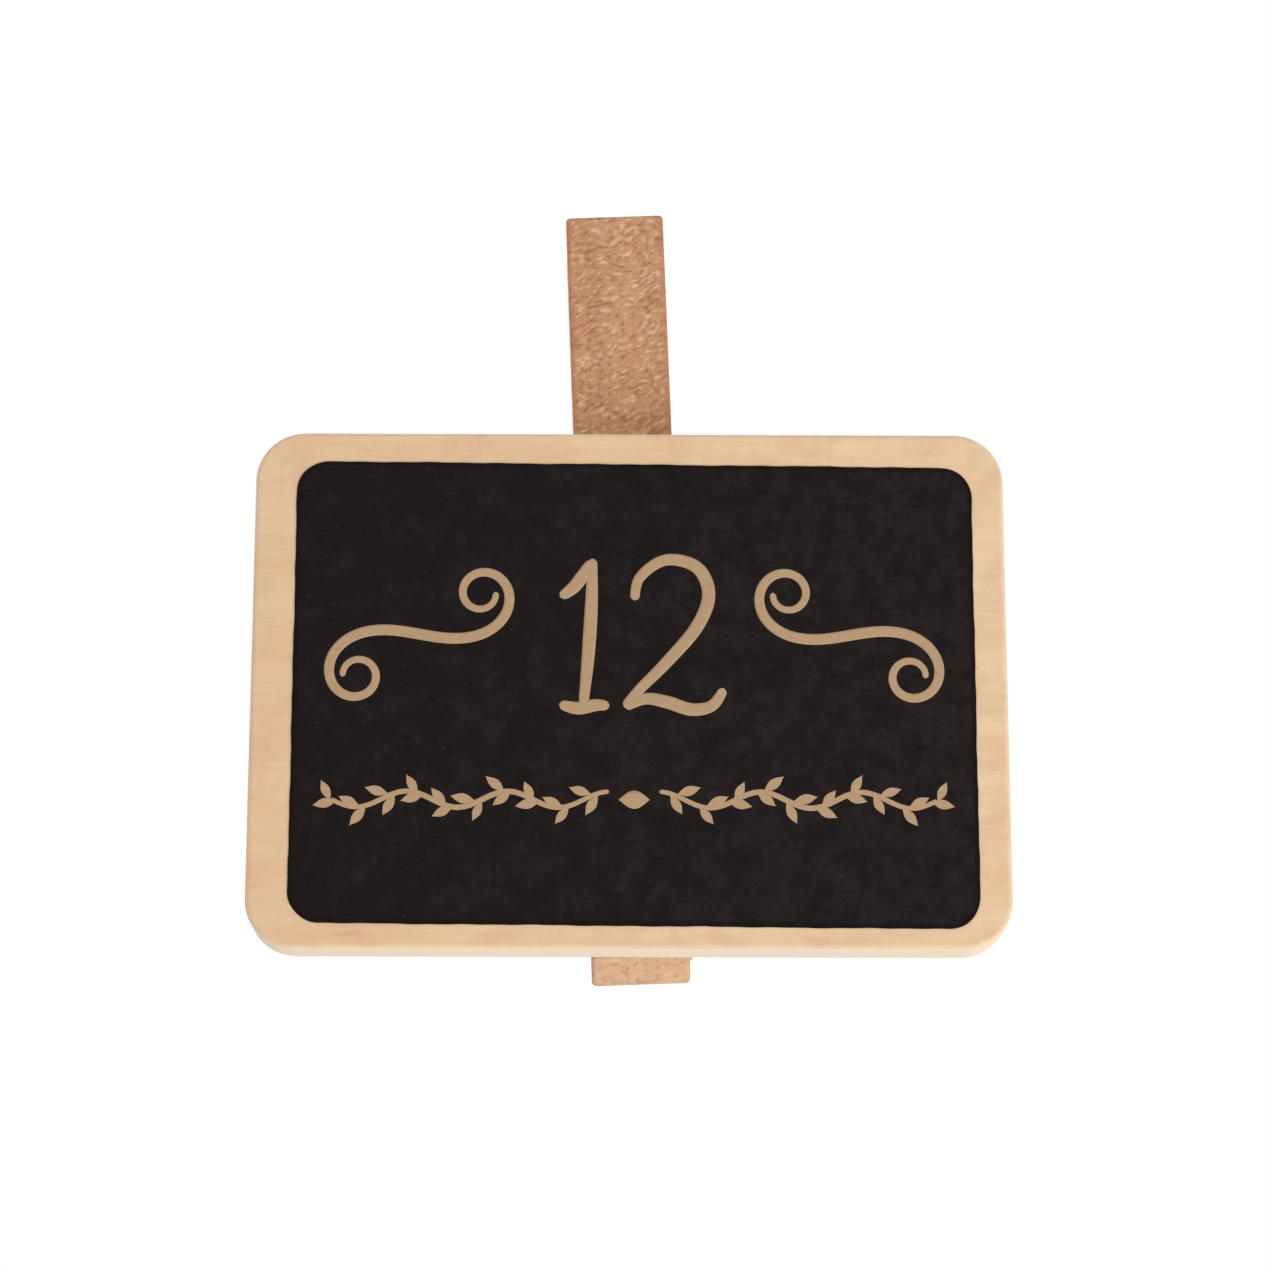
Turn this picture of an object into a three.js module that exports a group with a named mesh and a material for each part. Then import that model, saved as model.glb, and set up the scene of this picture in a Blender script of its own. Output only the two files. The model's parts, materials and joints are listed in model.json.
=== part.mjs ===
// Clip-on table number sign: a small wooden board with a blackboard-painted middle,
// glued to the front half of a wooden spring peg.
//
// Millimetres, +Z up, +X to the right of someone reading the sign, front facing -Y.
// The origin is the middle of the closed jaws, where the sign grips what carries it.

import * as THREE from 'three';

// Board
const boardWidth = 70;
const boardHeight = 49;
const boardThickness = 5;
const boardCornerRadius = 4.6;
const boardArris = 0.4;

// Blackboard paint, with its bare wooden border
const panelThickness = 0.15;
const panelCornerRadius = 3;
const borderLeft = 3.9;
const borderRight = 3;
const borderTop = 3.1;
const borderBottom = 2.1;

// Peg
const pegLength = 73;
const pegWidth = 9.4;
const halfThickness = 7;
const handleEndThickness = 3;
const jawGap = 0.3;
const pegArris = 0.4;
const endEase = 0.5;

// Jaw end of each half, from the tip upwards
const mouthLength = 5;
const lipThickness = 1.5;
const jawLength = 6.5;
const lineNotchRadius = 3.4;
const pivotFromTip = 30;

// How the peg sits on the board
const tipBelowBoard = 0.2;
const pegLean = THREE.MathUtils.degToRad(2.2);
const boardOffset = -0.35;
const glueThickness = 0.3;
const glueWidth = 7.4;
const glueCornerRadius = 2.6;
const glueMargin = 2;

// Spring
const wireDiameter = 1.3;
const coilRadius = 2.6;
const wholeTurns = 6;
const wireClearance = 0.3;
const sideClearance = 0.35;
const crossbarBelowPivot = 9.5;
const crossbarEndInset = 0.3;
const slotFlare = 0.25;
const bendRadius = 1.5;

// Fineness
const cornerSteps = 6;
const notchSteps = 9;
const stepsPerTurn = 8;
const wireSides = 5;
const bendSteps = 4;
const gapSamples = 4;

// Derived places, as depths from the peg's middle plane and distances up from its tip
const wireRadius = wireDiameter / 2;
const innerDepth = jawGap / 2;
const outerDepth = innerDepth + halfThickness;
const gripFromTip = mouthLength + jawLength / 2;
const lineNotchReach = Math.sqrt(lineNotchRadius ** 2 - innerDepth ** 2);
const lineNotchFromTip = mouthLength + jawLength + lineNotchReach;
const coilSeatRadius = coilRadius + wireRadius + wireClearance;
const slotFromTip = pivotFromTip - crossbarBelowPivot;
const slotHalfWidth = wireRadius + wireClearance;
const slotDepth = wireDiameter + 2 * wireClearance;
const crossbarDepth = outerDepth - slotDepth + wireClearance + wireRadius;
const armOffset = pegWidth / 2 + sideClearance + wireRadius;
const handleInnerDepth = outerDepth - handleEndThickness;
const taperAngle = Math.atan(handleInnerDepth / (pegLength - pivotFromTip));
const boardBack = -(outerDepth + glueThickness);
const boardCentreFromTip = tipBelowBoard + boardHeight / 2;
const boardCentreUp = boardCentreFromTip - gripFromTip;

const boardWood = material(0xe4c19c, 0.62);
const blackPaint = material(0x24201f, 0.85);
const pegWood = material(0xc8916e, 0.7);
const rearPegWood = material(0xc69878, 0.7);
const springSteel = material(0xb9bcc0, 0.35, 0.9);
const glue = material(0xe9e1cd, 0.5);

function material(color, roughness, metalness = 0) {
  return new THREE.MeshStandardMaterial({ color, roughness, metalness });
}

function namedMesh(name, geometry, surface) {
  const mesh = new THREE.Mesh(geometry, surface);
  mesh.name = name;
  return mesh;
}

function roundedRectangle(left, right, bottom, top, radius) {
  const quarter = Math.PI / 2;
  const shape = new THREE.Shape();
  shape.absarc(right - radius, bottom + radius, radius, -quarter, 0, false);
  shape.absarc(right - radius, top - radius, radius, 0, quarter, false);
  shape.absarc(left + radius, top - radius, radius, quarter, 2 * quarter, false);
  shape.absarc(left + radius, bottom + radius, radius, 2 * quarter, 3 * quarter, false);
  shape.closePath();
  return shape;
}

// A plate drawn in X and Z that grows from y = 0 towards the reader, to -Y.
function platePart(shape, thickness, arris = 0) {
  const geometry = new THREE.ExtrudeGeometry(shape, {
    depth: thickness - 2 * arris,
    curveSegments: cornerSteps,
    bevelEnabled: arris > 0,
    bevelThickness: arris,
    bevelSize: arris,
    bevelOffset: -arris,
    bevelSegments: 2,
  });
  geometry.translate(0, 0, arris);
  const right = new THREE.Vector3(1, 0, 0);
  const up = new THREE.Vector3(0, 0, 1);
  const forward = new THREE.Vector3(0, -1, 0);
  return geometry.applyMatrix4(new THREE.Matrix4().makeBasis(right, up, forward));
}

function boardGeometry() {
  const side = boardWidth / 2;
  const top = boardHeight / 2;
  return platePart(roundedRectangle(-side, side, -top, top, boardCornerRadius), boardThickness, boardArris);
}

function writingPanelGeometry() {
  const left = -boardWidth / 2 + borderLeft;
  const right = boardWidth / 2 - borderRight;
  const bottom = -boardHeight / 2 + borderBottom;
  const top = boardHeight / 2 - borderTop;
  return platePart(roundedRectangle(left, right, bottom, top, panelCornerRadius), panelThickness);
}

// Side view of one peg half: distance from the tip against depth from the middle plane.
// Along the outside from tip to handle, then back along the inside.
function pegHalfOutline() {
  const outline = new THREE.Shape();
  const coilSeatEdge = Math.asin(innerDepth / coilSeatRadius);
  const lineNotchEdge = Math.asin(innerDepth / lineNotchRadius);
  const endInner = handleInnerDepth - endEase * Math.tan(taperAngle);
  outline.moveTo(0, outerDepth - endEase);
  outline.lineTo(endEase, outerDepth);
  outline.lineTo(slotFromTip - slotHalfWidth - slotFlare, outerDepth);
  outline.lineTo(slotFromTip - slotHalfWidth, outerDepth - slotDepth);
  outline.lineTo(slotFromTip + slotHalfWidth, outerDepth - slotDepth);
  outline.lineTo(slotFromTip + slotHalfWidth + slotFlare, outerDepth);
  outline.lineTo(pegLength - endEase, outerDepth);
  outline.lineTo(pegLength, outerDepth - endEase);
  outline.lineTo(pegLength, handleInnerDepth + endEase);
  outline.lineTo(pegLength - endEase, endInner);
  outline.absarc(pivotFromTip, 0, coilSeatRadius, taperAngle, Math.PI - coilSeatEdge, false);
  outline.absarc(lineNotchFromTip, 0, lineNotchRadius, lineNotchEdge, Math.PI - lineNotchEdge, false);
  outline.lineTo(mouthLength, innerDepth);
  outline.lineTo(0, outerDepth - lipThickness);
  outline.closePath();
  return outline;
}

// side is -1 for the half in front of the middle plane and 1 for the one behind it.
function pegHalfGeometry(side) {
  const geometry = new THREE.ExtrudeGeometry(pegHalfOutline(), {
    depth: pegWidth - 2 * pegArris,
    curveSegments: notchSteps,
    bevelEnabled: true,
    bevelThickness: pegArris,
    bevelSize: pegArris,
    bevelOffset: -pegArris,
    bevelSegments: 1,
  });
  geometry.translate(-gripFromTip, 0, pegArris - pegWidth / 2);
  const along = new THREE.Vector3(0, 0, 1);
  const outward = new THREE.Vector3(0, side, 0);
  const across = new THREE.Vector3(-side, 0, 0);
  return geometry.applyMatrix4(new THREE.Matrix4().makeBasis(along, outward, across));
}

function glueGeometry(fromTip, toTip) {
  const side = glueWidth / 2;
  const outline = roundedRectangle(-side, side, fromTip - gripFromTip, toTip - gripFromTip, glueCornerRadius);
  return platePart(outline, glueThickness).translate(0, -outerDepth, 0);
}

// The front arm of the spring: crossbar in the front slot, bend, then the leg beside
// the wood up to where it touches the coil. Coordinates are about the coil's centre.
function springArm() {
  const anchor = new THREE.Vector2(-crossbarDepth, -crossbarBelowPivot);
  const tangentAngle = anchor.angle() - Math.acos(coilRadius / anchor.length());
  const touch = new THREE.Vector2(Math.cos(tangentAngle), Math.sin(tangentAngle)).multiplyScalar(coilRadius);
  const leg = touch.clone().sub(anchor).normalize();
  const points = [new THREE.Vector3(pegWidth / 2 - crossbarEndInset, anchor.x, anchor.y)];
  for (let step = 0; step <= bendSteps; step += 1) {
    const turn = (step / bendSteps) * (Math.PI / 2);
    const x = -armOffset + bendRadius * (1 - Math.sin(turn));
    const along = bendRadius * (1 - Math.cos(turn));
    points.push(new THREE.Vector3(x, anchor.x + leg.x * along, anchor.y + leg.y * along));
  }
  return { points, tangentAngle };
}

// Centre line of the wire from the front crossbar, round the coil, to the rear crossbar.
// The rear arm is the front arm turned half round about Z.
function springPath() {
  const { points, tangentAngle } = springArm();
  const endAngle = Math.PI - tangentAngle - wholeTurns * 2 * Math.PI;
  const sweep = endAngle - tangentAngle;
  const steps = Math.round((Math.abs(sweep) / (2 * Math.PI)) * stepsPerTurn);
  const path = [...points];
  for (let step = 0; step <= steps; step += 1) {
    const share = step / steps;
    const angle = tangentAngle + sweep * share;
    const x = armOffset * (2 * share - 1);
    path.push(new THREE.Vector3(x, coilRadius * Math.cos(angle), coilRadius * Math.sin(angle)));
  }
  for (const point of [...points].reverse()) {
    path.push(new THREE.Vector3(-point.x, -point.y, point.z));
  }
  return path;
}

// Smallest clear distance between stretches of the wire that are not neighbours.
function leastWireGap(path) {
  const samples = [];
  let travelled = 0;
  for (let i = 1; i < path.length; i += 1) {
    const length = path[i].distanceTo(path[i - 1]);
    for (let part = 0; part < gapSamples; part += 1) {
      const share = part / gapSamples;
      const place = path[i - 1].clone().lerp(path[i], share);
      samples.push({ place, along: travelled + length * share });
    }
    travelled += length;
  }
  const neighbour = Math.PI * coilRadius;
  let least = Infinity;
  for (const one of samples) {
    for (const other of samples) {
      if (other.along - one.along > neighbour) {
        least = Math.min(least, one.place.distanceTo(other.place) - wireDiameter);
      }
    }
  }
  return least;
}

// One closed tube along the path. Each ring is square to the path, and is carried
// on from the ring before it without twist.
function wireGeometry(path) {
  const positions = [];
  const triangles = [];
  let across = null;
  path.forEach((point, index) => {
    const before = path[Math.max(index - 1, 0)];
    const after = path[Math.min(index + 1, path.length - 1)];
    const along = after.clone().sub(before).normalize();
    across = across ?? new THREE.Vector3(0, 0, 1);
    across.addScaledVector(along, -across.dot(along)).normalize();
    const up = along.clone().cross(across);
    for (let side = 0; side < wireSides; side += 1) {
      const turn = (side / wireSides) * 2 * Math.PI;
      const corner = point.clone();
      corner.addScaledVector(across, wireRadius * Math.cos(turn));
      corner.addScaledVector(up, wireRadius * Math.sin(turn));
      positions.push(corner.x, corner.y, corner.z);
    }
  });
  for (let ring = 1; ring < path.length; ring += 1) {
    for (let side = 0; side < wireSides; side += 1) {
      const next = (side + 1) % wireSides;
      const a = (ring - 1) * wireSides + side;
      const b = (ring - 1) * wireSides + next;
      const c = ring * wireSides + side;
      const d = ring * wireSides + next;
      triangles.push(a, b, d, a, d, c);
    }
  }
  const lastRing = (path.length - 1) * wireSides;
  for (let side = 1; side < wireSides - 1; side += 1) {
    triangles.push(0, side + 1, side);
    triangles.push(lastRing, lastRing + side, lastRing + side + 1);
  }
  const geometry = new THREE.BufferGeometry();
  geometry.setAttribute('position', new THREE.Float32BufferAttribute(positions, 3));
  geometry.setIndex(triangles);
  geometry.computeVertexNormals();
  return geometry;
}

function springGeometry() {
  const path = springPath();
  console.log(`spring: least gap between turns ${leastWireGap(path).toFixed(2)} mm`);
  return wireGeometry(path).translate(0, 0, pivotFromTip - gripFromTip);
}

// The peg and its glue lean together; the board hangs level.
function leaningPeg() {
  const peg = new THREE.Group();
  const boardTopFromTip = tipBelowBoard + boardHeight;
  const slotEdge = slotHalfWidth + slotFlare;
  peg.add(namedMesh('front_peg_half', pegHalfGeometry(-1), pegWood));
  peg.add(namedMesh('rear_peg_half', pegHalfGeometry(1), rearPegWood));
  peg.add(namedMesh('peg_spring', springGeometry(), springSteel));
  const lowerGlue = glueGeometry(tipBelowBoard + glueMargin, slotFromTip - slotEdge - glueMargin);
  const upperGlue = glueGeometry(slotFromTip + slotEdge + glueMargin, boardTopFromTip - glueMargin);
  peg.add(namedMesh('lower_glue', lowerGlue, glue));
  peg.add(namedMesh('upper_glue', upperGlue, glue));
  peg.rotation.y = -pegLean;
  return peg;
}

function signBoard() {
  const board = new THREE.Group();
  const panel = namedMesh('writing_panel', writingPanelGeometry(), blackPaint);
  panel.position.y = -boardThickness;
  board.add(namedMesh('board', boardGeometry(), boardWood), panel);
  const centreAcross = boardOffset - boardCentreUp * Math.sin(pegLean);
  board.position.set(centreAcross, boardBack, boardCentreUp * Math.cos(pegLean));
  return board;
}

const sign = new THREE.Group();
sign.add(signBoard(), leaningPeg());

export default sign;
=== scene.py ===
import json
import math

import bmesh
import bpy
from bpy.props import FloatProperty, FloatVectorProperty, IntProperty, PointerProperty
from mathutils import Matrix, Vector


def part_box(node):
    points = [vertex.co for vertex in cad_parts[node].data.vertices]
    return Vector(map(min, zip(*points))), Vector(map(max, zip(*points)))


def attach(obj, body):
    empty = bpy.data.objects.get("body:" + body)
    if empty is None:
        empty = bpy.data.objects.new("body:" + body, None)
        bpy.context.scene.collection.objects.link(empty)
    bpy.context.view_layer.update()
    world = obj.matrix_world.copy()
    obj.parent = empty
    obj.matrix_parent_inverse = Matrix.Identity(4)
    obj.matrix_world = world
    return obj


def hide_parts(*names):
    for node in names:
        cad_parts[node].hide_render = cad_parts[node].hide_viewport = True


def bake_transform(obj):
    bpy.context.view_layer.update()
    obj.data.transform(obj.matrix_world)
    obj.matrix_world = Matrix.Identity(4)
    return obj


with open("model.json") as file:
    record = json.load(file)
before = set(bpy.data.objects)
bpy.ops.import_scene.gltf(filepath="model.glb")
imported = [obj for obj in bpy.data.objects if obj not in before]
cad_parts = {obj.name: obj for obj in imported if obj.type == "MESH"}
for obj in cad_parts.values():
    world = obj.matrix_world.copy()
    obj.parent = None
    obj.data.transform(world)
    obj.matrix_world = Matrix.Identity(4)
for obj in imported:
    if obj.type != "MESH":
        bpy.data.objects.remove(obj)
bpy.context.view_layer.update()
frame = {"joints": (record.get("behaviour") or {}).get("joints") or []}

bl_info = {
    "name": "Clip-on table number sign",
    "version": (1, 0, 0),
    "blender": (4, 5, 0),
    "location": "View3D > Sidebar > Table sign",
    "description": "A small blackboard glued to a sprung wooden peg, dressed around its packed model",
    "category": "Object",
}

MM = 0.001

# The peg's own directions and places. The board hangs level and the peg leans a little,
# so everything on the peg is placed from the hinge: across it, back from it, up from it.
HINGE = frame["joints"][0]
PIVOT = Vector(HINGE["pos_m"])
ACROSS = Vector(HINGE["axis"]).normalized()
BACK = Vector((0, 1, 0))
UP = ACROSS.cross(BACK)
PEG_LEAN = Matrix((ACROSS, BACK, UP)).transposed().to_4x4()
PEG_TO_FRAME = Matrix.Translation(PIVOT) @ PEG_LEAN

BOARD_LOW, BOARD_HIGH = (Vector(corner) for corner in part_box("board"))
PANEL_LOW, PANEL_HIGH = (Vector(corner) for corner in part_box("writing_panel"))
BOARD_CENTRE = (BOARD_LOW + BOARD_HIGH) / 2
PANEL_CENTRE = (PANEL_LOW + PANEL_HIGH) / 2
OUTER_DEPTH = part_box("rear_peg_half")[1][1]


# Colours and settings

def linear(code):
    """An sRGB hex colour as linear red, green, blue and full alpha."""
    channels = [int(code[i:i + 2], 16) / 255 for i in (0, 2, 4)]
    return tuple(c / 12.92 if c <= 0.04045 else ((c + 0.055) / 1.055) ** 2.4 for c in channels) + (1.0,)


def length(name, description, millimetres):
    return FloatProperty(name=name, description=description, default=millimetres * MM,
                         unit="LENGTH", precision=5)


def colour(name, description, code):
    return FloatVectorProperty(name=name, description=description, default=linear(code),
                               subtype="COLOR", size=4, min=0.0, max=1.0)


def angle(name, description, degrees):
    return FloatProperty(name=name, description=description, default=math.radians(degrees),
                         subtype="ANGLE", unit="ROTATION")


class BoardSettings(bpy.types.PropertyGroup):
    corner_radius: length("Corner radius", "Radius of the board's four corners", 4.6)
    arris: length("Arris", "Width of the rounding sanded along every edge", 0.5)
    light_wood: colour("Light wood", "The palest bands of the board's wood", "F2D3AC")
    dark_wood: colour("Dark wood", "The darker bands of the board's wood", "E4B98A")
    pink_wood: colour("Pink wood", "The faint pink clouds in the wood", "E6B995")
    # Partly the wood's own tone, partly painted shade towards the left end, away from the light on the
    # right.
    left_tone_and_shade: colour("Heart wood", "What the wood drifts to at the board's left end", "DFB28A")
    # Painted light: the board's edges are made paler than its face, standing in for light from below.
    edge_wood: colour("Edge wood", "The freshly sanded wood of the board's edges", "FFE9CF")
    fleck: colour("Fleck", "Short darker marks along the grain", "C79A70")


class PanelSettings(bpy.types.PropertyGroup):
    corner_radius: length("Corner radius", "Radius of the painted panel's corners", 2.9)
    thickness: length("Thickness", "Thickness of the coat of paint", 0.12)
    tilt: angle("Tilt", "How far the panel's upper and lower edges fall to the right", 0.43)
    wobble: length("Wobble", "How far the masked edge strays to each side", 0.05)
    # Also the colour of the painted sheen that greys the black towards the right.
    paint: colour("Paint", "Blackboard paint", "1A1413")
    thin_paint_and_sheen: colour("Thin paint", "Where the coat is a little thinner or dusty", "251E1D")
    thick_paint: colour("Thick paint", "Where the coat is thick, along its edge and in the grain", "0E0A0A")
    grit: colour("Grit", "Fine light grit in the paint", "5A5250")
    ink: colour("Ink", "The tan ink that the number is printed in", "BA9873")
    stroke: length("Number stroke", "Widest stroke of the number", 1.3)
    scroll_stroke: length("Scroll stroke", "Widest stroke of the scrolls", 1.1)
    stem_stroke: length("Stem stroke", "Widest stroke of the leafy stem", 0.55)
    bud_stroke: length("Bud", "Height of the bud between the two halves of the stem", 1.8)


class PegSettings(bpy.types.PropertyGroup):
    width: length("Width", "Width of the peg", 9.4)
    length: length("Length", "Length of the peg from handle end to jaw tip", 73)
    pivot_from_tip: length("Pivot from tip", "Height of the coil's centre above the tip", 30)
    handle_end: length("Handle end", "Thickness of each half at its handle end", 3)
    mouth: length("Mouth", "Length of the tapered lead-in between the jaws", 5)
    lip: length("Lip", "Thickness of each half at its tip", 1.5)
    jaw: length("Jaw", "Length of the flat part of the jaws", 6.5)
    notch_radius: length("Notch radius", "Radius of the round notch above the jaws", 3.4)
    jaw_gap: length("Jaw gap", "Gap between the closed halves", 0.06)
    play: length("Play", "Room that the wood leaves round the spring", 0.08)
    arris: length("Arris", "Width of the rounding tumbled onto every edge", 0.42)
    wood: colour("Wood", "Colour of the beech between its flecks", "CB966E")
    # Partly the beech's own tone, partly painted light from below on the jaw tip.
    tip_tone_and_light: colour("Tip wood", "Colour of the beech towards the jaw tip", "E1B48B")
    light_fleck: colour("Light fleck", "The bright rays in the beech", "E6BE9A")
    dark_fleck: colour("Dark fleck", "The dark rays in the beech", "A46D4A")
    edge_wood: colour("Edge wood", "The burnished wood along the edges", "C07C4F")
    side_wood: colour("Side wood", "The peg's flat-sawn sides", "CB9067")


class SpringSettings(bpy.types.PropertyGroup):
    wire: length("Wire", "Diameter of the spring wire", 1.3)
    coil_radius: length("Coil radius", "Radius of the coil to the middle of the wire", 2.6)
    turns: IntProperty(name="Whole turns", description="Whole turns of the coil", default=6, min=1)
    inset: length("Crossbar depth", "How deep the crossbars lie below the peg's outside", 0.3)
    side_clearance: length("Side clearance", "Room between each arm and the peg's side", 0.35)
    crossbar_drop: length("Crossbar drop", "How far the crossbars lie below the coil", 9.5)
    crossbar_inset: length("Crossbar inset", "How far each crossbar ends short of the side", 0.3)
    bend_radius: length("Bend radius", "Radius of the bend from leg to crossbar", 1.5)
    slot_flare: length("Slot flare", "How much each slot widens towards its mouth", 0.25)
    steel: colour("Steel", "Zinc plated spring wire", "C9CCD0")


class GlueSettings(bpy.types.PropertyGroup):
    margin: length("Margin", "How far each film ends short of the peg's sides", 0.7)
    corner_radius: length("Corner radius", "Radius of the film's corners", 2.6)
    arris: length("Arris", "Width of the rounding along the film's edge", 0.1)
    wobble: length("Wobble", "How far the film's edge strays to each side", 0.35)
    dried: colour("Dried glue", "Dried wood glue", "E6D8B8")


class StageSettings(bpy.types.PropertyGroup):
    camera_distance: length("Camera distance", "From the camera to the point it looks at", 345)
    camera_below: angle("Camera below", "How far the camera stands below the sign", 14.49)
    camera_left: angle("Camera left", "How far the camera stands to the sign's left", 0.5)
    camera_roll: angle("Camera roll", "How far the camera is turned about its view", 0.06)
    lens: FloatProperty(name="Lens", description="Focal length on a 36 mm wide sensor",
                        default=105.53, unit="CAMERA")
    aim_across: length("Aim across", "Where the camera looks, right of the board's middle", 0.51)
    aim_up: length("Aim up", "Where the camera looks, above the board's middle", 4.91)
    floor_drop: length("Floor drop", "How far the floor lies below the jaws", 1500)
    floor_radius: length("Floor radius", "How far the floor reaches", 2000)
    ambient: FloatProperty(name="Ambient", description="Strength of the even light all round",
                           default=0.6, min=0.0)
    floor: colour("Floor", "Plain pale floor", "F4F4F3")


# Nodes and materials

MIX_A, MIX_B = 6, 7    # the colour inputs of a Mix node


def fill_inputs(tree, node, inputs):
    """Sets a node's inputs, or links them to outputs. A node given as a value stands for the first
    of its outputs that is in use."""
    for name, value in inputs.items():
        if isinstance(value, bpy.types.Node):
            value = next(output for output in value.outputs if output.enabled)
        if isinstance(value, bpy.types.NodeSocket):
            tree.links.new(value, node.inputs[name])
        else:
            node.inputs[name].default_value = value


def add_node(tree, kind, inputs=None, **settings):
    """Adds a node, changes its settings and fills its inputs."""
    node = tree.nodes.new(kind)
    for name, value in settings.items():
        setattr(node, name, value)
    fill_inputs(tree, node, inputs or {})
    return node


def new_material(name, constants):
    """A node material and its Principled shader, with the values that are the same all over."""
    material = bpy.data.materials.new(name)
    material.use_nodes = True
    tree = material.node_tree
    shader = tree.nodes["Principled BSDF"]
    fill_inputs(tree, shader, constants)
    return material, tree, shader


def per_mm(size):
    """Texture scale, in metres, at which a noise has features of about this many millimetres."""
    return 1.0 / (size * MM)


def toned(tree, tone, noise, darkest, lightest):
    """A colour that a noise makes darker and lighter, between these two brightnesses."""
    brightness = add_node(tree, "ShaderNodeMapRange", {
        "Value": noise, "From Min": 0.3, "From Max": 0.7, "To Min": darkest, "To Max": lightest})
    return add_node(tree, "ShaderNodeVectorMath", {0: tone, "Scale": brightness}, operation="SCALE")


def sanded_basswood(board):
    """Basswood, sanded and left bare: pale, dull and close grained, so it shows soft bands and faint marks
    along X, and no gloss. Its edges carry painted light: they are paler than its face, as if lit from below.
    Its left end carries painted shade along with its own darker tone."""
    material, tree, shader = new_material("sanded_basswood", {"Roughness": 0.62})
    coordinates = add_node(tree, "ShaderNodeTexCoord").outputs
    place = coordinates["Object"]
    parts = add_node(tree, "ShaderNodeSeparateXYZ", {"Vector": place}).outputs
    facing = add_node(tree, "ShaderNodeSeparateXYZ", {"Vector": coordinates["Normal"]}).outputs
    along_grain = add_node(tree, "ShaderNodeMapping", {"Vector": place, "Scale": (0.09, 1, 1)})
    bands = add_node(tree, "ShaderNodeTexNoise", {
        "Vector": along_grain, "Scale": per_mm(3.2), "Detail": 5.0, "Roughness": 0.62, "Distortion": 0.4})
    band_share = add_node(tree, "ShaderNodeMapRange", {
        "Value": bands, "From Min": 0.36, "From Max": 0.72, "To Max": 0.72})
    clouds = add_node(tree, "ShaderNodeTexNoise", {
        "Vector": place, "Scale": per_mm(5.5), "Detail": 4.0, "Roughness": 0.62, "Distortion": 0.8})
    cloud_share = add_node(tree, "ShaderNodeMapRange", {
        "Value": clouds, "From Min": 0.47, "From Max": 0.68, "To Max": 0.75})
    # The wood is made a little darker and pinker towards the board's left end: partly its own tone, partly
    # painted shade where the light from the right falls off.
    left_shade_share = add_node(tree, "ShaderNodeMapRange", {
        "Value": parts["X"], "From Min": BOARD_HIGH.x, "From Max": BOARD_LOW.x, "To Max": 0.3})
    mark_place = add_node(tree, "ShaderNodeMapping", {
        "Vector": place, "Scale": (0.22, 1, 1), "Location": (0.013, 0.002, 0.007)})
    marks = add_node(tree, "ShaderNodeTexNoise", {"Vector": mark_place, "Scale": per_mm(0.95)})
    mark_share = add_node(tree, "ShaderNodeMapRange", {
        "Value": marks, "From Min": 0.63, "From Max": 0.76, "To Max": 0.34})
    # Painted light: every face turned away from the front is made paler, standing in for light from below.
    forward = add_node(tree, "ShaderNodeMath", {0: facing["Y"]}, operation="ABSOLUTE")
    edge_share = add_node(tree, "ShaderNodeMapRange", {
        "Value": forward, "From Min": 0.97, "From Max": 0.25, "To Max": 0.9})
    wood = board.light_wood
    for share, tone in ((band_share, board.dark_wood), (cloud_share, board.pink_wood),
                        (left_shade_share, board.left_tone_and_shade), (mark_share, board.fleck),
                        (edge_share, board.edge_wood)):
        wood = add_node(tree, "ShaderNodeMix", {"Factor": share, MIX_A: wood, MIX_B: tone}, data_type="RGBA")
    # Real fibres are a twentieth of a millimetre wide; these are as coarse as they need to show.
    fibres = add_node(tree, "ShaderNodeTexNoise", {
        "Vector": along_grain, "Scale": per_mm(0.28), "Detail": 3.0, "Roughness": 0.6})
    wood = toned(tree, wood, fibres, 0.955, 1.03)
    # The left and right edges are end grain: browner, and pricked with pores too fine to see, drawn
    # here a fifth of a millimetre across.
    sideways = add_node(tree, "ShaderNodeMath", {0: facing["X"]}, operation="ABSOLUTE")
    end_share = add_node(tree, "ShaderNodeMapRange", {
        "Value": sideways, "From Min": 0.85, "From Max": 0.98, "To Max": 0.7})
    pores = add_node(tree, "ShaderNodeTexNoise", {"Vector": place, "Scale": per_mm(0.2), "Detail": 1.0})
    pore_share = add_node(tree, "ShaderNodeMath", {0: end_share, 1: pores}, operation="MULTIPLY")
    wood = add_node(tree, "ShaderNodeMix", {
        "Factor": pore_share, MIX_A: wood, MIX_B: board.fleck}, data_type="RGBA")
    relief = add_node(tree, "ShaderNodeBump", {"Height": fibres, "Strength": 0.35, "Distance": 0.06 * MM})
    fill_inputs(tree, shader, {"Base Color": wood, "Normal": relief})
    return material


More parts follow.
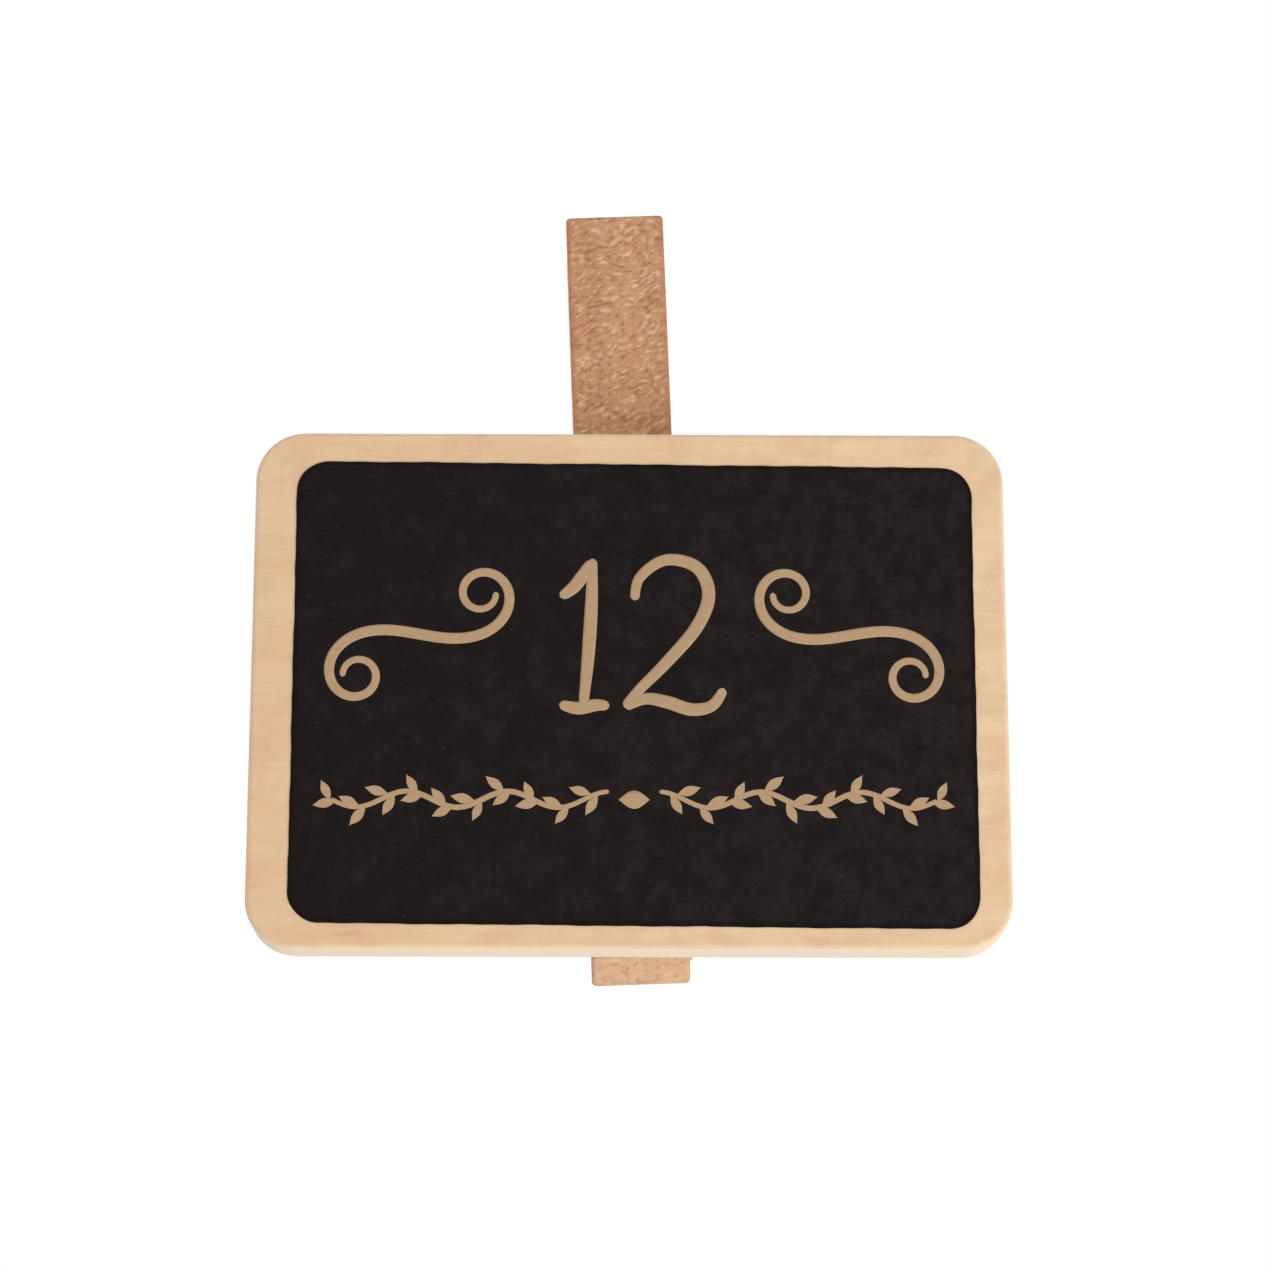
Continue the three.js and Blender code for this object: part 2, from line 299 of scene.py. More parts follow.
def flecked_beech(peg):
    """Steamed beech, planed and tumbled: warm brown, with the short wavy rays that its quarter-sawn
    front and back show, bright and dark by turns, and edges burnished to orange. Its flat-sawn
    sides show the same rays cut across, as short dark lines up the grain."""
    material, tree, shader = new_material("flecked_beech", {"Roughness": 0.6})
    # Places on a half are in millimetres from the pivot, so a scale of 1 / size draws that size.
    place = add_node(tree, "ShaderNodeAttribute", attribute_name="peg_place").outputs["Vector"]
    parts = add_node(tree, "ShaderNodeSeparateXYZ", {"Vector": place}).outputs
    normal = add_node(tree, "ShaderNodeTexCoord").outputs["Normal"]
    facing = add_node(tree, "ShaderNodeSeparateXYZ", {"Vector": normal}).outputs
    # The rays are about 1 mm long and a third as high. Most rise to the right, and slow waves
    # through the wood turn them, so that they swirl like a fingerprint.
    waves = add_node(tree, "ShaderNodeTexNoise", {"Vector": place, "Scale": 1 / 6.0, "Detail": 1.0})
    sway = add_node(tree, "ShaderNodeVectorMath", {
        0: waves.outputs["Color"], 1: (3.2, 3.2, 3.2), 2: place}, operation="MULTIPLY_ADD")
    ray_place = add_node(tree, "ShaderNodeMapping", {
        "Vector": sway, "Rotation": (0, math.radians(-20), 0), "Scale": (2.1, 2.1, 1)},
        vector_type="TEXTURE")
    rays = add_node(tree, "ShaderNodeTexNoise", {
        "Vector": ray_place, "Scale": 1 / 0.34, "Detail": 1.5, "Distortion": 0.4})
    bright_share = add_node(tree, "ShaderNodeMapRange", {
        "Value": rays, "From Min": 0.55, "From Max": 0.7, "To Max": 0.9})
    # The jaw tip is paler and quieter than the handle: the paleness is partly the beech's own tone, partly
    # painted light from below.
    tip_share = add_node(tree, "ShaderNodeMapRange", {
        "Value": parts["Z"], "From Min": -12.0, "From Max": -28.0}, interpolation_type="SMOOTHSTEP")
    darkest = add_node(tree, "ShaderNodeMapRange", {"Value": tip_share, "To Min": 0.85, "To Max": 0.4})
    dark_share = add_node(tree, "ShaderNodeMapRange", {
        "Value": rays, "From Min": 0.46, "From Max": 0.32, "To Max": darkest})
    # Steaming leaves some patches warmer than others.
    warm_share = add_node(tree, "ShaderNodeMapRange", {
        "Value": waves, "From Min": 0.42, "From Max": 0.64, "To Max": 0.28})
    # Burnishing reaches half a millimetre in from the peg's long edges, and fades out at its tip.
    half_width = peg.width / 2 / MM
    from_middle = add_node(tree, "ShaderNodeMath", {0: parts["X"]}, operation="ABSOLUTE")
    burnished = add_node(tree, "ShaderNodeMapRange", {"Value": tip_share, "To Min": 0.55, "To Max": 0.05})
    edge_share = add_node(tree, "ShaderNodeMapRange", {
        "Value": from_middle, "From Min": half_width - 0.75, "From Max": half_width - 0.2,
        "To Max": burnished}, interpolation_type="SMOOTHSTEP")
    line_place = add_node(tree, "ShaderNodeMapping", {"Vector": place, "Scale": (1, 1, 0.2)})
    lines = add_node(tree, "ShaderNodeTexNoise", {"Vector": line_place, "Scale": 1 / 0.26, "Detail": 1.5})
    line_share = add_node(tree, "ShaderNodeMapRange", {
        "Value": lines, "From Min": 0.56, "From Max": 0.72, "To Max": 0.9})
    side_wood = add_node(tree, "ShaderNodeMix", {
        "Factor": line_share, MIX_A: peg.side_wood, MIX_B: peg.dark_fleck}, data_type="RGBA")
    sideways = add_node(tree, "ShaderNodeMath", {0: facing["X"]}, operation="ABSOLUTE")
    side_share = add_node(tree, "ShaderNodeMapRange", {
        "Value": sideways, "From Min": 0.75, "From Max": 0.97})
    wood = peg.wood
    for share, tone in ((warm_share, peg.edge_wood), (tip_share, peg.tip_tone_and_light),
                        (bright_share, peg.light_fleck), (dark_share, peg.dark_fleck),
                        (edge_share, peg.edge_wood), (side_share, side_wood)):
        wood = add_node(tree, "ShaderNodeMix", {"Factor": share, MIX_A: wood, MIX_B: tone}, data_type="RGBA")
    # Growth bands run up the peg, about 2 mm apart.
    growth_place = add_node(tree, "ShaderNodeMapping", {"Vector": place, "Scale": (1, 1, 0.05)})
    growth = add_node(tree, "ShaderNodeTexNoise", {
        "Vector": growth_place, "Scale": 1 / 2.0, "Detail": 4.0, "Roughness": 0.6})
    relief = add_node(tree, "ShaderNodeBump", {"Height": rays, "Strength": 0.22, "Distance": 0.05 * MM})
    fill_inputs(tree, shader, {"Base Color": toned(tree, wood, growth, 0.9, 1.07), "Normal": relief})
    return material


def rolled_blackboard_paint(panel):
    """Blackboard paint, rolled on: a chalky black with almost no shine. The grain below shows as short dark
    marks, the roller leaves a faint mottle and light grit, and the coat is thicker, so blacker, along its
    masked edge. A painted sheen greys the black towards the right."""
    material, tree, shader = new_material("rolled_blackboard_paint", {
        "Roughness": 0.85, "Specular IOR Level": 0.12})
    place = add_node(tree, "ShaderNodeTexCoord").outputs["Object"]
    parts = add_node(tree, "ShaderNodeSeparateXYZ", {"Vector": place}).outputs
    mottle = add_node(tree, "ShaderNodeTexNoise", {
        "Vector": place, "Scale": per_mm(1.9), "Detail": 4.0, "Roughness": 0.65})
    # Painted sheen: the black is made a little greyer towards the right, as if lit from the right.
    right_sheen = add_node(tree, "ShaderNodeMapRange", {
        "Value": parts["X"], "From Min": PANEL_LOW.x, "From Max": PANEL_HIGH.x,
        "To Min": -0.11, "To Max": 0.05})
    sheened_mottle = add_node(tree, "ShaderNodeMath", {0: mottle, 1: right_sheen}, operation="ADD")
    mottle_sheen_share = add_node(tree, "ShaderNodeMapRange", {
        "Value": sheened_mottle, "From Min": 0.4, "From Max": 0.68})
    along_grain = add_node(tree, "ShaderNodeMapping", {"Vector": place, "Scale": (0.3, 1, 1)})
    grain = add_node(tree, "ShaderNodeTexNoise", {"Vector": along_grain, "Scale": per_mm(0.42)})
    grain_share = add_node(tree, "ShaderNodeMapRange", {
        "Value": grain, "From Min": 0.4, "From Max": 0.28, "To Max": 0.8})
    grit = add_node(tree, "ShaderNodeTexNoise", {"Vector": place, "Scale": per_mm(0.4), "Detail": 1.5})
    grit_share = add_node(tree, "ShaderNodeMapRange", {
        "Value": grit, "From Min": 0.68, "From Max": 0.82, "To Max": 0.2})
    # The panel is made level and folded about its middle, so that one corner stands for all four.
    # How far a point lies beyond that corner's centre shows how near the masked edge it is.
    across = add_node(tree, "ShaderNodeMath", {0: parts["X"], 1: PANEL_CENTRE.x}, operation="SUBTRACT")
    level = add_node(tree, "ShaderNodeMath", {
        0: across, 1: math.tan(panel.tilt), 2: parts["Z"]}, operation="MULTIPLY_ADD")
    reach = add_node(tree, "ShaderNodeCombineXYZ", {"X": across, "Z": level})
    corner = PANEL_HIGH - PANEL_CENTRE - Vector((panel.corner_radius, 0, panel.corner_radius))
    for operation, amount in (("SUBTRACT", {1: (0, 0, PANEL_CENTRE.z)}), ("ABSOLUTE", {}),
                              ("SUBTRACT", {1: (corner.x, 0, corner.z)}), ("MAXIMUM", {1: (0, 0, 0)}),
                              ("LENGTH", {})):
        reach = add_node(tree, "ShaderNodeVectorMath", {0: reach, **amount}, operation=operation)
    rim_share = add_node(tree, "ShaderNodeMapRange", {
        "Value": reach, "From Min": panel.corner_radius - 0.6 * MM,
        "From Max": panel.corner_radius - 0.2 * MM, "To Max": 0.75}, interpolation_type="SMOOTHSTEP")
    paint = panel.paint
    for share, tone in ((mottle_sheen_share, panel.thin_paint_and_sheen), (grain_share, panel.thick_paint),
                        (grit_share, panel.grit), (rim_share, panel.thick_paint)):
        paint = add_node(tree, "ShaderNodeMix", {"Factor": share, MIX_A: paint, MIX_B: tone},
                         data_type="RGBA")
    relief = add_node(tree, "ShaderNodeBump", {"Height": grain, "Strength": 0.25, "Distance": 0.03 * MM})
    fill_inputs(tree, shader, {"Base Color": paint, "Normal": relief})
    return material


def tan_ink(panel):
    """Screen-printed tan ink: flat and opaque, a touch uneven where the paint below is rough."""
    material, tree, shader = new_material("tan_ink", {"Roughness": 0.7})
    place = add_node(tree, "ShaderNodeTexCoord").outputs["Object"]
    cover = add_node(tree, "ShaderNodeTexNoise", {
        "Vector": place, "Scale": per_mm(0.6), "Detail": 3.0, "Roughness": 0.6})
    fill_inputs(tree, shader, {"Base Color": toned(tree, panel.ink[:3], cover, 0.93, 1.05)})
    return material


def zinc_plated_wire(spring):
    """Hard-drawn steel wire, zinc plated: bright grey metal, cloudy where the plating varies."""
    material, tree, shader = new_material("zinc_plated_wire", {"Metallic": 1.0})
    place = add_node(tree, "ShaderNodeTexCoord").outputs["Object"]
    clouds = add_node(tree, "ShaderNodeTexNoise", {
        "Vector": place, "Scale": per_mm(1.4), "Detail": 4.0, "Roughness": 0.6})
    dullness = add_node(tree, "ShaderNodeMapRange", {
        "Value": clouds, "From Min": 0.3, "From Max": 0.7, "To Min": 0.24, "To Max": 0.42})
    # Drawing marks are finer than this; a tenth of a millimetre is what shows.
    marks = add_node(tree, "ShaderNodeTexNoise", {"Vector": place, "Scale": per_mm(0.12)})
    relief = add_node(tree, "ShaderNodeBump", {"Height": marks, "Strength": 0.15, "Distance": 0.01 * MM})
    fill_inputs(tree, shader, {"Base Color": toned(tree, spring.steel[:3], clouds, 0.86, 1.04),
                               "Roughness": dullness, "Normal": relief})
    return material


def dried_wood_glue(glue):
    """Wood glue, dried: cloudy and yellowish, with a soft shine."""
    material, tree, shader = new_material("dried_wood_glue", {"Roughness": 0.35})
    place = add_node(tree, "ShaderNodeTexCoord").outputs["Object"]
    clouds = add_node(tree, "ShaderNodeTexNoise", {"Vector": place, "Scale": per_mm(1.8), "Detail": 3.0})
    relief = add_node(tree, "ShaderNodeBump", {"Height": clouds, "Strength": 0.4, "Distance": 0.1 * MM})
    fill_inputs(tree, shader, {"Base Color": toned(tree, glue.dried[:3], clouds, 0.88, 1.05),
                               "Normal": relief})
    return material


# Meshes

SHARP_CORNER = math.radians(40)    # edges that turn by more than this stay sharp


def arc(centre, radius, start, end, steps):
    """Points of an arc from start to end, both included, in the plane of two coordinates."""
    points = []
    for step in range(steps + 1):
        turn = start + (end - start) * step / steps
        points.append((centre[0] + radius * math.cos(turn), centre[1] + radius * math.sin(turn)))
    return points


def rounded_rectangle(left, right, low, high, radius, steps=20):
    """Outline in X and Z, anticlockwise to the reader."""
    quarter = math.pi / 2
    points = arc((right - radius, low + radius), radius, -quarter, 0, steps)
    points += arc((right - radius, high - radius), radius, 0, quarter, steps)
    points += arc((left + radius, high - radius), radius, quarter, 2 * quarter, steps)
    points += arc((left + radius, low + radius), radius, 2 * quarter, 3 * quarter, steps)
    return points


def resampled(outline, spacing):
    """The closed outline with its long sides cut into stretches of about this spacing."""
    points = []
    for i, point in enumerate(outline):
        after = outline[(i + 1) % len(outline)]
        pieces = max(1, round(math.dist(point, after) / spacing))
        for piece in range(pieces):
            share = piece / pieces
            points.append(tuple(a + (b - a) * share for a, b in zip(point, after)))
    return points


def wavering(outline, amount, waves):
    """The closed outline, each point moved along its normal by the sum of slow waves of these
    lengths in millimetres, so that no stretch repeats."""
    moved = []
    travelled = 0.0
    for i, point in enumerate(outline):
        before, after = outline[i - 1], outline[(i + 1) % len(outline)]
        travelled += math.dist(before, point)
        along = Vector((after[0] - before[0], after[1] - before[1])).normalized()
        shift = sum(math.sin(travelled / (wave * MM) * 2 * math.pi + wave) for wave in waves)
        shift *= amount / len(waves)
        moved.append((point[0] + along.y * shift, point[1] - along.x * shift))
    return moved


def finished_mesh(shape, name):
    """The bmesh as a mesh, smooth but for its corners."""
    mesh = bpy.data.meshes.new(name)
    shape.to_mesh(mesh)
    shape.free()
    mesh.shade_smooth()
    mesh.set_sharp_from_angle(angle=SHARP_CORNER)
    return mesh


def prism(outlines):
    """The closed shape between two outlines of as many points, and its two rims of vertices."""
    shape = bmesh.new()
    rims = []
    for outline in outlines:
        rims.append([shape.verts.new(point) for point in outline])
        shape.faces.new(rims[-1])
    near, far = rims
    for i in range(len(near)):
        j = (i + 1) % len(near)
        shape.faces.new((near[i], near[j], far[j], far[i]))
    bmesh.ops.recalc_face_normals(shape, faces=shape.faces)
    return shape, rims


def plate_mesh(name, outline, front, back, rounded, arris, steps):
    """A closed plate between two depths, with the named rims ("front", "back") rounded."""
    shape, rims = prism([[(x, depth, z) for x, z in outline] for depth in (front, back)])
    edges = []
    for place, rim in zip(("front", "back"), rims):
        if place in rounded:
            edges += [shape.edges.get(ends) for ends in zip(rim, rim[1:] + rim[:1])]
    bmesh.ops.bevel(shape, geom=edges, offset=arris, segments=steps, profile=0.5,
                    affect="EDGES", clamp_overlap=False)
    return finished_mesh(shape, name)


def add_piece(name, mesh, material=None):
    piece = bpy.data.objects.new(name, mesh)
    bpy.context.scene.collection.objects.link(piece)
    if material:
        mesh.materials.append(material)
    return piece


def apply_modifiers(piece):
    """Turns what the modifiers make into the piece's own plain mesh."""
    graph = bpy.context.evaluated_depsgraph_get()
    mesh = bpy.data.meshes.new_from_object(
        piece.evaluated_get(graph), preserve_all_data_layers=True, depsgraph=graph)
    piece.modifiers.clear()
    piece.data = mesh


def flatten_shading(piece):
    """Large flat faces keep their own normal, so only the rounded edges catch the light."""
    piece.modifiers.new("weighted", "WEIGHTED_NORMAL").keep_sharp = True
    apply_modifiers(piece)


def new_geometry_tree(name, inputs):
    """A geometry node group with named inputs: (name, kind of socket, default)."""
    tree = bpy.data.node_groups.new(name, "GeometryNodeTree")
    tree.interface.new_socket("Geometry", in_out="INPUT", socket_type="NodeSocketGeometry")
    for label, kind, default in inputs:
        tree.interface.new_socket(label, in_out="INPUT", socket_type=kind).default_value = default
    tree.interface.new_socket("Material", in_out="INPUT", socket_type="NodeSocketMaterial")
    tree.interface.new_socket("Geometry", in_out="OUTPUT", socket_type="NodeSocketGeometry")
    return tree, add_node(tree, "NodeGroupInput").outputs


def end_geometry_tree(tree, geometry, material):
    """Ends a group: what it made becomes real geometry, in its material."""
    real = add_node(tree, "GeometryNodeRealizeInstances", {"Geometry": geometry})
    painted = add_node(tree, "GeometryNodeSetMaterial", {"Geometry": real, "Material": material})
    add_node(tree, "NodeGroupOutput", {"Geometry": painted})


def run_tree(piece, tree, values):
    """Runs the tree on the piece with these named values, and keeps the result as its mesh."""
    modifier = piece.modifiers.new(tree.name, "NODES")
    modifier.node_group = tree
    for item in tree.interface.items_tree:
        if item.in_out == "INPUT" and item.name in values:
            modifier[item.identifier] = values[item.name]
    apply_modifiers(piece)


# The board and its painted panel

PAINT_WAVES = (3.1, 7.3, 17.0)
PAINT_EDGE_STEP = 0.5 * MM


def make_board(board):
    """The plaque, with rounded corners and every edge sanded."""
    outline = rounded_rectangle(BOARD_LOW.x, BOARD_HIGH.x, BOARD_LOW.z, BOARD_HIGH.z, board.corner_radius)
    mesh = plate_mesh("plaque", outline, BOARD_LOW.y, BOARD_HIGH.y, ("front", "back"),
                      board.arris, steps=4)
    piece = add_piece("plaque", mesh, sanded_basswood(board))
    flatten_shading(piece)
    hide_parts("board")
    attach(piece, "sign")


def make_panel(panel):
    """The coat of paint: its masked edge wavers, and its upper and lower edges fall a little."""
    outline = rounded_rectangle(PANEL_LOW.x, PANEL_HIGH.x, PANEL_LOW.z, PANEL_HIGH.z,
                                panel.corner_radius, steps=14)
    outline = [(x, z - (x - PANEL_CENTRE.x) * math.tan(panel.tilt)) for x, z in outline]
    outline = wavering(resampled(outline, PAINT_EDGE_STEP), panel.wobble, PAINT_WAVES)
    front = PANEL_HIGH.y - panel.thickness
    mesh = plate_mesh("painted_panel", outline, front, PANEL_HIGH.y, ("front",),
                      panel.thickness / 2, steps=2)
    piece = add_piece("painted_panel", mesh, rolled_blackboard_paint(panel))
    flatten_shading(piece)
    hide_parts("writing_panel")
    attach(piece, "sign")


# The printed number and its ornaments. Places and lengths are in millimetres, right of and above
# the panel's middle. A taper is the share of its width that a stroke loses towards its ends.

NUMBER_STROKES = [
    [(-6.9, 9.0), (-5.5, 10.1), (-3.9, 12.5)],
    [(-3.9, 12.7), (-4.0, 8.0), (-4.3, 3.0), (-4.7, -1.3)],
    [(-6.9, -1.2), (-5.3, -1.6), (-3.5, -1.3), (-2.3, -1.4)],
    [(0.0, 8.7), (0.5, 10.9), (2.9, 12.6), (5.8, 11.9), (6.9, 9.3), (5.8, 6.2), (3.0, 2.8),
     (0.4, 0.1), (-0.9, -1.5)],
    [(-0.9, -1.5), (1.0, -0.7), (3.0, -1.0), (5.3, -1.7), (7.2, -1.3), (8.3, 0.3)]]
NUMBER_TAPER = 0.3
PEN_STEP = 0.14
LEAST_STROKE = 0.1
INK_HEIGHT = 0.005    # of a stroke's middle above the paint

SCROLL_FROM = 11.6
SCROLL_TO = 28.2
SCROLL_HEIGHT = 5.4
SCROLL_CURL = 8.2
SCROLL_LEAN = 0.18
SCROLL_STEPS = 240
SCROLL_TAPER = 0.45

STEM_FROM = 2.3
STEM_TO = 27.8
STEM_HEIGHT = -10.2
STEM_WAVES = 3
STEM_SWING = 0.75
STEM_STEPS = 90
STEM_TAPER = 0.2
BUD_REACH = 1.4

LEAVES_FROM = STEM_FROM + 1.3
LEAVES_TO = STEM_TO - 0.3
LEAVES_PER_SIDE = 10
LEAF_LEAN = math.radians(38)
LEAF_STAGGER = 0.3


def smooth_curve(points, steps=20):
    """Points on a Catmull-Rom curve through the given ones."""
    padded = [points[0]] + list(points) + [points[-1]]
    curve = []
    for i in range(1, len(padded) - 2):
        p0, p1, p2, p3 = (Vector(p) for p in padded[i - 1:i + 3])
        for step in range(steps):
            t = step / steps
            curve.append(0.5 * (2 * p1 + (p2 - p0) * t + (2 * p0 - 5 * p1 + 4 * p2 - p3) * t * t
                                + (3 * p1 - p0 - 3 * p2 + p3) * t ** 3))
    curve.append(Vector(padded[-2]))
    return curve


def scroll_curve(side):
    """An S-shaped scroll beside the number, curled tighter towards both ends."""
    points = [Vector((0, 0))]
    for step in range(SCROLL_STEPS):
        share = 2 * (step + 0.5) / SCROLL_STEPS - 1
        turn = SCROLL_LEAN - SCROLL_CURL * share * share
        points.append(points[-1] + Vector((math.cos(turn), math.sin(turn))))
    left, right = min(p.x for p in points), max(p.x for p in points)
    middle = points[SCROLL_STEPS // 2]
    scale = (SCROLL_TO - SCROLL_FROM) / (right - left)
    centre = Vector(((SCROLL_FROM + SCROLL_TO) / 2, SCROLL_HEIGHT))
    curve = [centre + (p - middle) * scale for p in points]
    return [Vector((side * p.x, p.y)) for p in curve]


def stem_height(across):
    """Height of the garland's stem, this far from the panel's middle."""
    return STEM_HEIGHT + STEM_SWING * math.sin(abs(across) / STEM_TO * STEM_WAVES * math.pi * 2)


def evenly_spaced(curve, spacing):
    """Points this far apart along the curve, its two ends among them, and the curve's length."""
    travelled = [0.0]
    for before, after in zip(curve, curve[1:]):
        travelled.append(travelled[-1] + (after - before).length)
    count = max(2, round(travelled[-1] / spacing))
    points, i = [], 0
    for number in range(count + 1):
        along = travelled[-1] * number / count
        while i < len(curve) - 2 and travelled[i + 1] < along:
            i += 1
        share = (along - travelled[i]) / (travelled[i + 1] - travelled[i])
        points.append(curve[i].lerp(curve[i + 1], share))
    return points, travelled[-1]


def on_panel(point, depth):
    """A place in millimetres about the panel's middle, as a point at this depth in the frame."""
    return Vector((PANEL_CENTRE.x + point[0] * MM, depth, PANEL_CENTRE.z + point[1] * MM))


def stroke_tree():
    """A flat pen stroke along each path, as wide as the path's own pen_width says."""
    tree, inputs = new_geometry_tree("pen strokes along paths", [
        ("Flatness", "NodeSocketFloat", 0.027), ("Sides", "NodeSocketInt", 10)])
    width = add_node(tree, "GeometryNodeInputNamedAttribute", {"Name": "pen_width"}, data_type="FLOAT")
    half = add_node(tree, "ShaderNodeMath", {0: width, 1: 0.5}, operation="MULTIPLY")
    path = add_node(tree, "GeometryNodeMeshToCurve", {"Mesh": inputs["Geometry"]})
    circle = add_node(tree, "GeometryNodeCurvePrimitiveCircle", {
        "Resolution": inputs["Sides"], "Radius": 1.0})
    squash = add_node(tree, "ShaderNodeCombineXYZ", {"X": inputs["Flatness"], "Y": 1.0, "Z": 1.0})
    nib = add_node(tree, "GeometryNodeTransform", {"Geometry": circle, "Scale": squash})
    upright = add_node(tree, "GeometryNodeSetCurveNormal", {
        "Curve": path, "Normal": (0, 1, 0)}, mode="FREE")
    stroke = add_node(tree, "GeometryNodeCurveToMesh", {
        "Curve": upright, "Profile Curve": nib, "Scale": half, "Fill Caps": True})
    end_geometry_tree(tree, stroke, inputs["Material"])
    return tree


def print_shapes(name, places, edges, attribute, values, tree, material):
    """Prints what the tree makes of these places, each of which carries a value of the attribute."""
    mesh = bpy.data.meshes.new(name)
    mesh.from_pydata(places, edges, [])
    mesh.attributes.new(attribute, "FLOAT", "POINT").data.foreach_set("value", values)
    piece = add_piece(name, mesh)
    run_tree(piece, tree, {"Material": material})
    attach(piece, "sign")


def print_strokes(name, strokes, depth, tree, material):
    """Prints each (curve, widest, taper) as one stroke, thinner towards its rounded ends."""
    places, edges, widths = [], [], []
    for curve, widest, taper in strokes:
        points, reach = evenly_spaced(curve, PEN_STEP)
        for number, point in enumerate(points):
            share = number / (len(points) - 1)
            width = max(widest / MM * (1 - taper + taper * math.sin(math.pi * share)), LEAST_STROKE)
            from_end = min(share, 1 - share) * reach / (width / 2)
            rounding = math.sqrt(1 - (1 - min(from_end, 1)) ** 2)
            widths.append(max(width * rounding, LEAST_STROKE) * MM)
            if number:
                edges.append((len(places) - 1, len(places)))
            places.append(on_panel(point, depth))
    print_shapes(name, places, edges, "pen_width", widths, tree, material)


def leaf_tree():
    """Leaves on points: each leaf is a disc drawn out to two tips and turned by its point's angle."""
    tree, inputs = new_geometry_tree("leaves on points", [
        ("Leaf length", "NodeSocketFloat", 2.4 * MM),
        ("Leaf width", "NodeSocketFloat", 0.95 * MM),
        ("Thickness", "NodeSocketFloat", 0.04 * MM),
        ("Least size", "NodeSocketFloat", 0.86),
        ("Seed", "NodeSocketInt", 7)])
    disc = add_node(tree, "GeometryNodeMeshCylinder", {
        "Vertices": 20, "Side Segments": 1, "Radius": 1.0, "Depth": inputs["Thickness"]})
    place = add_node(tree, "GeometryNodeInputPosition")
    parts = add_node(tree, "ShaderNodeSeparateXYZ", {"Vector": place}).outputs
    from_base = add_node(tree, "ShaderNodeMath", {0: parts["X"], 1: 1.0}, operation="ADD")
    half_length = add_node(tree, "ShaderNodeMath", {0: inputs["Leaf length"], 1: 0.5}, operation="MULTIPLY")
    long = add_node(tree, "ShaderNodeMath", {0: from_base, 1: half_length}, operation="MULTIPLY")
    # The cube of a point's distance from the leaf's middle line draws both of its ends to a tip.
    pinch = add_node(tree, "ShaderNodeMath", {0: parts["Y"], 1: 3.0}, operation="POWER")
    half_width = add_node(tree, "ShaderNodeMath", {0: inputs["Leaf width"], 1: 0.5}, operation="MULTIPLY")
    wide = add_node(tree, "ShaderNodeMath", {0: pinch, 1: half_width}, operation="MULTIPLY")
    drawn = add_node(tree, "ShaderNodeCombineXYZ", {"X": long, "Y": wide, "Z": parts["Z"]})
    leaf = add_node(tree, "GeometryNodeSetPosition", {"Geometry": disc, "Position": drawn})
    upright = add_node(tree, "GeometryNodeTransform", {"Geometry": leaf, "Rotation": (math.pi / 2, 0, 0)})
    turn = add_node(tree, "GeometryNodeInputNamedAttribute", {"Name": "turn"}, data_type="FLOAT")
    turn_about_y = add_node(tree, "ShaderNodeCombineXYZ", {"Y": turn})
    size = add_node(tree, "FunctionNodeRandomValue", {
        2: inputs["Least size"], 3: 1.0, "Seed": inputs["Seed"]}, data_type="FLOAT")
    points = add_node(tree, "GeometryNodeMeshToPoints", {"Mesh": inputs["Geometry"]})
    leaves = add_node(tree, "GeometryNodeInstanceOnPoints", {
        "Points": points, "Instance": upright, "Rotation": turn_about_y, "Scale": size})
    end_geometry_tree(tree, leaves, inputs["Material"])
    return tree


def print_leaves(name, depth, material):
    """Pairs of leaves all along both halves of the stem."""
    places, turns = [], []
    aside = 0.1    # the stem's slope is taken between points this far to both sides
    for side in (-1, 1):
        for number in range(LEAVES_PER_SIDE):
            x = LEAVES_FROM + (LEAVES_TO - LEAVES_FROM) * number / (LEAVES_PER_SIDE - 1)
            slope = math.atan2(stem_height(x + aside) - stem_height(x - aside), 2 * aside)
            for above in (-1, 1):
                lean = slope + above * LEAF_LEAN
                places.append(on_panel((side * (x + LEAF_STAGGER * above), stem_height(x)), depth))
                turns.append(-lean if side > 0 else lean - math.pi)
    print_shapes(name, places, [], "turn", turns, leaf_tree(), material)


def make_print(panel):
    """The number twelve between two scrolls, over a leafy stem in two halves with a bud between."""
    depth = PANEL_HIGH.y - panel.thickness - INK_HEIGHT * MM
    material = tan_ink(panel)
    tree = stroke_tree()
    number = [(smooth_curve(points), panel.stroke, NUMBER_TAPER) for points in NUMBER_STROKES]
    print_strokes("printed_number", number, depth, tree, material)
    scrolls = [(scroll_curve(side), panel.scroll_stroke, SCROLL_TAPER) for side in (-1, 1)]
    print_strokes("printed_scrolls", scrolls, depth, tree, material)
    stations = [STEM_FROM + (STEM_TO - STEM_FROM) * step / STEM_STEPS for step in range(STEM_STEPS + 1)]
    stems = []
    for side in (-1, 1):
        stem = [Vector((side * x, stem_height(x))) for x in stations]
        stems.append((stem, panel.stem_stroke, STEM_TAPER))
    bud = [Vector((side * BUD_REACH, STEM_HEIGHT)) for side in (-1, 1)]
    stems.append((bud, panel.bud_stroke, 1.0))
    print_strokes("printed_stem", stems, depth, tree, material)
    print_leaves("printed_leaves", depth, material)


# The peg and its spring

BORE_STEPS = 24
TUMBLED_CORNER = math.radians(25)    # edges that turn by more than this were rounded by tumbling


